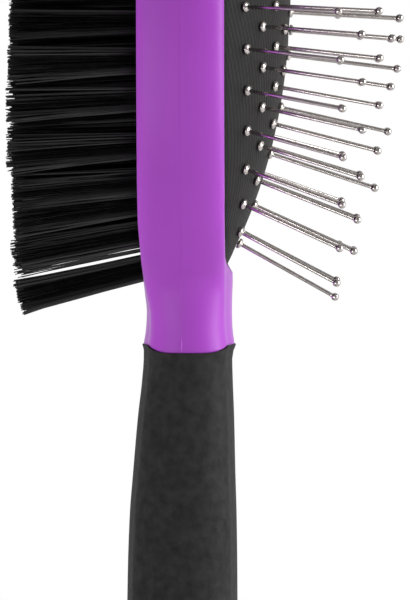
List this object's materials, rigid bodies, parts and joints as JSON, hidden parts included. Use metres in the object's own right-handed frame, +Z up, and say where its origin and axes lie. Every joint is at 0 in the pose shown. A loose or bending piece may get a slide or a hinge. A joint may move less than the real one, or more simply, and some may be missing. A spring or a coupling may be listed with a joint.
{
  "type": "double-sided pet brush",
  "caption": "Handheld pet grooming brush: ball-tipped wire pins on an air cushion on one face, nylon bristle tufts on the other, rubber grip on a straight handle with a hanging hole.",
  "frame": {"origin": "centre of the flat end of the handle, below the head", "axes": "+Z up the handle to the head, +X towards the wire pins, -X towards the bristles, Y across the width"},
  "size_m": [0.0696, 0.0724, 0.2579],
  "materials": {
    "purple_shell": "satin moulded ABS",
    "grip_rubber": "matte soft-touch rubber",
    "cushion_rubber": "matte moulded rubber with a fine hatch",
    "black_plastic": "matte",
    "pin_steel": "bright plated wire",
    "bristle_nylon": "black nylon filament"
  },
  "bodies": {
    "brush_body": {"front_shell": "purple_shell", "back_shell": "purple_shell", "grip_sleeve": "grip_rubber", "butt_cap": "purple_shell", "cushion_pad": "cushion_rubber", "support_ring": "black_plastic", "bristle_plate": "black_plastic", "bristle_row_01": "bristle_nylon", "bristle_row_02": "bristle_nylon", "bristle_row_03": "bristle_nylon", "bristle_row_04": "bristle_nylon", "bristle_row_05": "bristle_nylon", "bristle_row_06": "bristle_nylon", "bristle_row_07": "bristle_nylon", "bristle_row_08": "bristle_nylon", "bristle_row_09": "bristle_nylon", "bristle_row_10": "bristle_nylon", "bristle_row_11": "bristle_nylon", "bristle_row_12": "bristle_nylon", "bristle_row_13": "bristle_nylon", "bristle_row_14": "bristle_nylon", "bristle_row_15": "bristle_nylon", "bristle_row_16": "bristle_nylon", "bristle_row_17": "bristle_nylon", "bristle_row_18": "bristle_nylon", "bristle_row_19": "bristle_nylon"},
    "centre_pins": {"pins_centre_row": "pin_steel"},
    "ring_e_pins": {"pins_ring_e": "pin_steel"},
    "ring_d_pins": {"pins_ring_d": "pin_steel"},
    "ring_c_pins": {"pins_ring_c": "pin_steel"},
    "ring_b_pins": {"pins_ring_b": "pin_steel"},
    "ring_a_pins": {"pins_ring_a": "pin_steel"}
  },
  "joints": [
    {"name": "cushion_press", "type": "slide", "parent": "brush_body", "child": "centre_pins", "axis": [-1, 0, 0], "range_m": [0, 0.0045], "stiffness_N_per_m": 200, "deforming": ["cushion_pad"]},
    {"name": "press_ring_e", "type": "slide", "parent": "brush_body", "child": "ring_e_pins", "axis": [-1, 0, 0], "range_m": [0, 0.00431], "stiffness_N_per_m": 480},
    {"name": "press_ring_d", "type": "slide", "parent": "brush_body", "child": "ring_d_pins", "axis": [-1, 0, 0], "range_m": [0, 0.0039], "stiffness_N_per_m": 720},
    {"name": "press_ring_c", "type": "slide", "parent": "brush_body", "child": "ring_c_pins", "axis": [-1, 0, 0], "range_m": [0, 0.00326], "stiffness_N_per_m": 960},
    {"name": "press_ring_b", "type": "slide", "parent": "brush_body", "child": "ring_b_pins", "axis": [-1, 0, 0], "range_m": [0, 0.00232], "stiffness_N_per_m": 1200},
    {"name": "press_ring_a", "type": "slide", "parent": "brush_body", "child": "ring_a_pins", "axis": [-1, 0, 0], "range_m": [0, 0.00128], "stiffness_N_per_m": 1360}
  ],
  "couplings": [
    {"joint": "press_ring_e", "follows": "cushion_press", "ratio": 0.957},
    {"joint": "press_ring_d", "follows": "cushion_press", "ratio": 0.866},
    {"joint": "press_ring_c", "follows": "cushion_press", "ratio": 0.725},
    {"joint": "press_ring_b", "follows": "cushion_press", "ratio": 0.516},
    {"joint": "press_ring_a", "follows": "cushion_press", "ratio": 0.284}
  ]
}
